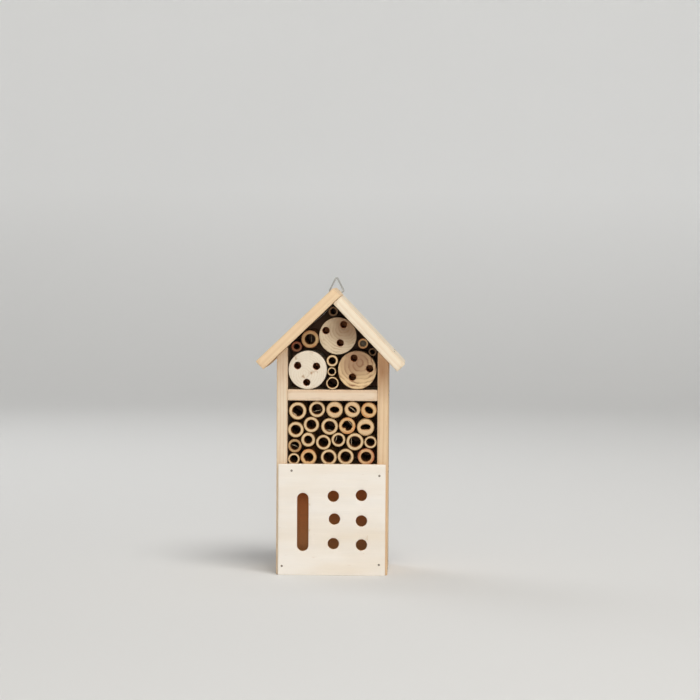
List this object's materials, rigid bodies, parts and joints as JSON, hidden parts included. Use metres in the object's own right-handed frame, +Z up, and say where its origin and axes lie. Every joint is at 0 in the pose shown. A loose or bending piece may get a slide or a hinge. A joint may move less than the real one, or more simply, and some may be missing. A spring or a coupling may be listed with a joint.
{
  "type": "insect hotel",
  "caption": "Small gabled wooden insect hotel with drilled logs and bamboo canes above a slotted and drilled front panel, hung by a wire ring.",
  "frame": {"origin": "centre of the base board's underside", "axes": "+Z up, +Y to the back, +X to the right as seen from the front, so the front faces -Y"},
  "size_m": [0.1361, 0.0883, 0.275],
  "materials": {
    "pine_board": "sawn and sanded, unpainted",
    "roof_board": "planed, unpainted",
    "thin_plywood": "smooth pale veneer, unpainted",
    "hardboard": "brown fibre board",
    "log_wood": "sawn end grain",
    "bamboo": "dry cane with fibrous cut ends",
    "zinc_plate": "dull zinc plate",
    "zinc_wire": "dull zinc plate",
    "nail_steel": "bright steel, slightly dulled"
  },
  "bodies": {
    "house": {"side_board_left": "pine_board", "side_board_right": "pine_board", "base_board": "pine_board", "shelf_lower": "pine_board", "shelf_upper": "pine_board", "back_panel": "hardboard", "front_panel": "thin_plywood", "roof_board_left": "roof_board", "roof_board_right": "roof_board", "log_left": "log_wood", "log_right": "log_wood", "log_top": "log_wood", "hanger_strap": "zinc_plate", "hanger_screw": "zinc_plate", "cane_upper_01": "bamboo", "cane_upper_02": "bamboo", "cane_upper_03": "bamboo", "cane_upper_04": "bamboo", "cane_upper_05": "bamboo", "cane_upper_06": "bamboo", "cane_upper_07": "bamboo", "cane_upper_08": "bamboo", "cane_lower_01": "bamboo", "cane_lower_02": "bamboo", "cane_lower_03": "bamboo", "cane_lower_04": "bamboo", "cane_lower_05": "bamboo", "cane_lower_06": "bamboo", "cane_lower_07": "bamboo", "cane_lower_08": "bamboo", "cane_lower_09": "bamboo", "cane_lower_10": "bamboo", "cane_lower_11": "bamboo", "cane_lower_12": "bamboo", "cane_lower_13": "bamboo", "cane_lower_14": "bamboo", "cane_lower_15": "bamboo", "cane_lower_16": "bamboo", "cane_lower_17": "bamboo", "cane_lower_18": "bamboo", "cane_lower_19": "bamboo", "cane_lower_20": "bamboo", "cane_lower_21": "bamboo", "panel_nail_1": "nail_steel", "panel_nail_2": "nail_steel", "panel_nail_3": "nail_steel", "panel_nail_4": "nail_steel", "back_nail_1": "nail_steel", "back_nail_2": "nail_steel", "back_nail_3": "nail_steel", "back_nail_4": "nail_steel", "roof_nail_left_1": "nail_steel", "roof_nail_left_2": "nail_steel", "roof_nail_right_1": "nail_steel", "roof_nail_right_2": "nail_steel", "ridge_nail_1": "nail_steel", "ridge_nail_2": "nail_steel"},
    "ring": {"hanger_ring": "zinc_wire"}
  },
  "joints": [
    {"name": "ring_swing", "type": "hinge", "parent": "house", "child": "ring", "pos_m": [0.0004, 0.04065, 0.261], "axis": [-1, 0, 0], "range_deg": [-60, 165]}
  ]
}
